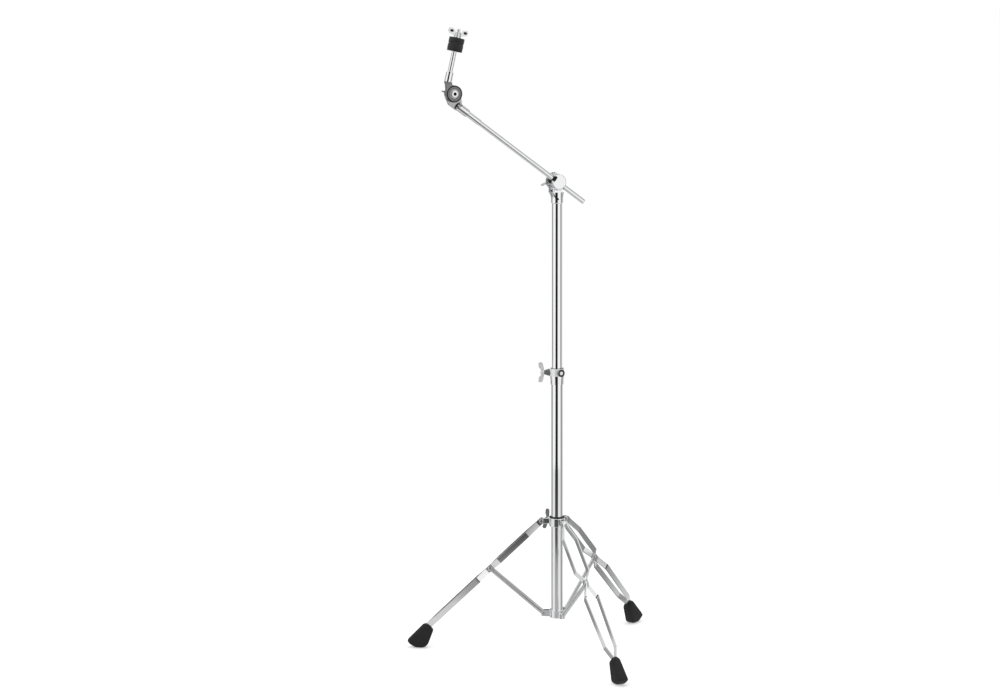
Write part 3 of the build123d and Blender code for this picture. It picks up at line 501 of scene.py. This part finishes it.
def soften(obj, width):
    """Rounds the sharp edges a little and shades the rest smooth, without touching the mesh."""
    for poly in obj.data.polygons:
        poly.use_smooth = True
    weld = obj.modifiers.new("weld", "WELD")
    weld.merge_threshold = WELD
    if width:
        bevel = obj.modifiers.new("bevel", "BEVEL")
        bevel.width = width
        bevel.segments = 2
        bevel.limit_method = "ANGLE"
        bevel.angle_limit = SHARP
        bevel.harden_normals = False
        bevel.use_clamp_overlap = True
    split = obj.modifiers.new("split", "EDGE_SPLIT")
    split.split_angle = SHARP
    split.use_edge_sharp = False
    flat = obj.modifiers.new("flat_faces", "WEIGHTED_NORMAL")
    flat.weight = 100


def round_off(obj):
    """Gives a moulded rubber foot its soft edges: an even mesh, smoothed in place."""
    even = obj.modifiers.new("even", "REMESH")
    even.mode = "VOXEL"
    even.voxel_size = FOOT_CELL
    even.use_smooth_shade = True
    smooth = obj.modifiers.new("smooth", "SMOOTH")
    smooth.iterations = FOOT_PASSES


for name, obj in nodes.items():
    look = CHROME_STRIP if "_strip_" in name else BY_NAME.get(name, BY_SLOT[slots[name]])
    obj.data.materials.clear()
    obj.data.materials.append(look.mat)
    if name.endswith("_foot"):
        round_off(obj)
    else:
        soften(obj, 0.0 if name in TUBES else EDGE_WIDTH)

# ------------------------------------------------------------------ felts
FELT_FROM, FELT_H, FELT_R, FELT_HOLE = 0.1005, 0.0149, 0.0184, 0.0054
FELT_GAP = 0.0001
FELT_SHRINK = 0.0003
FELT_CORNER, FELT_CROWN = 0.0017, 0.0003
FELT_SPOKES = 96
FELT_FACE_ROWS, FELT_CORNER_ROWS, FELT_WALL_ROWS, FELT_HOLE_ROWS = 6, 6, 8, 4
# the wool's unevenness starts this far out from the hole, in two sizes
WOOL_FROM = 0.003
WOOL_COARSE, WOOL_FINE, WOOL_FINER = 0.00035, 0.00022, 4.1


def felt_profile(low, high, hole, radius, corner, crown):
    """Closed section of a felt washer: pressed flat faces, rounded rims, slightly crowned wall."""
    middle = (low + high) / 2
    half = (high - low) / 2
    face = [hole + (radius - corner - hole) * k / FELT_FACE_ROWS
            for k in range(1, FELT_FACE_ROWS + 1)]
    rim = []
    for k in range(1, FELT_CORNER_ROWS):
        t = math.pi / 2 * k / FELT_CORNER_ROWS
        rim.append((corner * (1 - math.cos(t)), radius - corner + corner * math.sin(t)))
    points = [(low, hole)]
    points += [(low, r) for r in face]
    points += [(low + inward, r) for inward, r in rim]
    for k in range(FELT_WALL_ROWS + 1):
        s = -1 + 2 * k / FELT_WALL_ROWS
        points.append((middle + s * (half - corner), radius + crown * (1 - s * s)))
    points += [(high - inward, r) for inward, r in reversed(rim)]
    points += [(high, r) for r in reversed(face)]
    points.append((high, hole))
    points += [(high - (high - low) * k / FELT_HOLE_ROWS, hole) for k in range(1, FELT_HOLE_ROWS)]
    return points


def washer(name, section, index):
    """A felt round the cymbal post, its section turned about the post's axis."""
    other = post_up.cross(post_side)
    bm = bmesh.new()
    rings = []
    for along, radius in section:
        ring = []
        for step in range(FELT_SPOKES):
            angle = 2 * math.pi * step / FELT_SPOKES
            reach = radius
            if radius > FELT_HOLE + WOOL_FROM:
                seed = Vector((math.cos(angle) * 3, math.sin(angle) * 3, along * 240 + index * 17))
                reach += (WOOL_COARSE * noise.noise(seed)
                          + WOOL_FINE * noise.noise(seed * WOOL_FINER))
            out = post_side * math.cos(angle) + other * math.sin(angle)
            ring.append(bm.verts.new(post_base + post_up * along + out * reach))
        rings.append(ring)
    for a, b in zip(rings, rings[1:] + rings[:1]):
        for step in range(FELT_SPOKES):
            after = (step + 1) % FELT_SPOKES
            bm.faces.new((a[step], a[after], b[after], b[step]))
    bmesh.ops.recalc_face_normals(bm, faces=bm.faces)
    mesh = bpy.data.meshes.new(name)
    bm.to_mesh(mesh)
    bm.free()
    for poly in mesh.polygons:
        poly.use_smooth = True
    mesh.materials.append(FELT.mat)
    obj = bpy.data.objects.new(name, mesh)
    scene.collection.objects.link(obj)
    return obj


for index, name in enumerate(("felt_lower", "felt_upper")):
    low = FELT_FROM + index * FELT_H
    section = felt_profile(low + FELT_GAP, low + FELT_H - FELT_GAP, FELT_HOLE + FELT_GAP,
                           FELT_R - FELT_SHRINK, FELT_CORNER, FELT_CROWN)
    piece = washer(name + "_wool", section, index)
    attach(piece, "cymbal_post")
    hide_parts(name)

# ------------------------------------------------------------------ floor and light
FLOOR_R, FLOOR_SEGMENTS, FLOOR_Z = 2.3, 128, -0.0005
FLOOR_GLOW = 0.42
WORLD_LEVEL = 0.6
# What metal sees round the stand, from the camera's side (0) to behind the stand (1).
BANDS_TURN = TURN - math.radians(9)
STUDIO_BANDS = [(0.0, 0.012), (0.11, 0.02), (0.15, 0.95), (0.42, 1.0), (0.50, 0.36),
                (0.70, 0.26), (0.74, 0.86), (0.87, 0.90), (0.92, 0.16), (1.0, 0.12)]
FLOOR_BANDS = [(0.0, 0.8), (0.42, 0.85), (0.50, 0.38), (0.70, 0.28), (0.74, 0.74), (0.87, 0.78),
               (0.92, 0.20), (1.0, 0.16)]
# The floor on the camera's side, from the stand (0) to FRONT_REACH away (1).
FRONT_FLOOR = [(0.0, 0.46), (0.36, 0.34), (0.50, 0.10), (1.0, 0.03)]
FRONT_REACH = 2.4
FRONT_SHARE = (0.14, 0.19)
CEILING_TONE, GROUND_TONE = 0.95, 0.42
# height of a direction where the opening closes into the ceiling, and where the ground starts
CEILING_Z = (0.45, 0.75)
GROUND_Z = (-0.27, -0.36)


def around_camera(m, direction):
    """Turn of a direction from the camera's side, 0 to 1, and how far it reaches that way."""
    where = m.parts(direction)
    sine, cosine = math.sin(BANDS_TURN), math.cos(BANDS_TURN)
    ahead = m.math("SUBTRACT", m.product(where["X"], sine), m.product(where["Y"], cosine))
    across = m.math("ADD", m.product(where["X"], cosine), m.product(where["Y"], sine))
    turn = m.math("ABSOLUTE", m.math("ARCTAN2", across, ahead))
    return m.math("DIVIDE", turn, math.pi), ahead


floor_mesh = bpy.data.meshes.new("floor")
bm = bmesh.new()
bmesh.ops.create_circle(bm, cap_ends=True, segments=FLOOR_SEGMENTS, radius=FLOOR_R)
bm.to_mesh(floor_mesh)
bm.free()
floor = bpy.data.objects.new("floor", floor_mesh)
floor.location = (0.0, 0.0, FLOOR_Z)
scene.collection.objects.link(floor)
fm = Mat("floor", Roughness=0.8, Specular_IOR_Level=0.1, Emission_Color=(1.0, 1.0, 1.0, 1.0))
fm.feed("Base Color", fm.ramp(fm.noise(scale=2.0), [(0.2, 0.86), (0.8, 0.88)]))
rays = fm.add("ShaderNodeLightPath").outputs
fm.feed("Emission Strength", fm.product(rays["Is Camera Ray"], FLOOR_GLOW))
# In reflections the floor is as light or dark as the studio beyond it. In front of the dark
# opening it is paler close to the stand.
share, ahead = around_camera(fm, fm.place())
front = fm.ramp(fm.step(ahead, 0.0, FRONT_REACH), FRONT_FLOOR)
shown = fm.mix(fm.step(share, *FRONT_SHARE, 1.0, 0.0), fm.ramp(share, FLOOR_BANDS), front)
seen_in_metal = fm.add("ShaderNodeEmission")
fm.link(shown, seen_in_metal.inputs["Color"])
surface = fm.mix_shaders(rays["Is Glossy Ray"], fm.bsdf.outputs[0], seen_in_metal.outputs[0])
fm.link(surface, fm.tree.nodes["Material Output"].inputs["Surface"])
floor_mesh.materials.append(fm.mat)


def area(name, location, target, size, power):
    """A square soft light that shows neither to the camera nor in reflections."""
    data = bpy.data.lights.new(name, "AREA")
    data.shape = "RECTANGLE"
    data.size, data.size_y = size, size
    data.energy = power
    light = bpy.data.objects.new(name, data)
    light.location = location
    aim = Vector(target) - Vector(location)
    light.rotation_euler = aim.to_track_quat("-Z", "Y").to_euler()
    light.visible_camera = False
    light.visible_glossy = False
    scene.collection.objects.link(light)


area("key", location=(-1.6, -2.4, 3.4), target=(0, 0, 0.6), size=2.2, power=35.0)
area("top", location=(0.4, 0.6, 3.6), target=(0, 0, 0.4), size=2.6, power=25.0)

# The world is a white studio. In reflections it has a dark opening on the camera's side, like the
# one between two soft boxes, and grey, pale and dark bands on the far side, by direction only.
world = bpy.data.worlds.new("studio")
scene.world = world
world.use_nodes = True
world.node_tree.nodes.clear()
wn = Nodes(world.node_tree)
way = wn.add("ShaderNodeTexCoord").outputs["Generated"]
way_up = wn.parts(way)["Z"]
share, _ = around_camera(wn, way)
ceiling = wn.colour(CEILING_TONE, CEILING_TONE, CEILING_TONE)
ground = wn.colour(GROUND_TONE, GROUND_TONE, GROUND_TONE)
upper = wn.mix(wn.step(way_up, *CEILING_Z), wn.ramp(share, STUDIO_BANDS), ceiling)
glossy = wn.add("ShaderNodeBackground")
wn.link(wn.mix(wn.step(way_up, *GROUND_Z), upper, ground), glossy.inputs["Color"])
# The camera sees white, and diffuse surfaces a plain level of light.
rays = wn.add("ShaderNodeLightPath").outputs
plain = wn.add("ShaderNodeBackground", Color=(1.0, 1.0, 1.0, 1.0))
level = wn.step(rays["Is Camera Ray"], 0.0, 1.0, WORLD_LEVEL, 1.0)
wn.link(level, plain.inputs["Strength"])
surface = wn.mix_shaders(rays["Is Glossy Ray"], plain.outputs[0], glossy.outputs[0])
wn.link(surface, wn.add("ShaderNodeOutputWorld").inputs["Surface"])

bpy.context.view_layer.update()
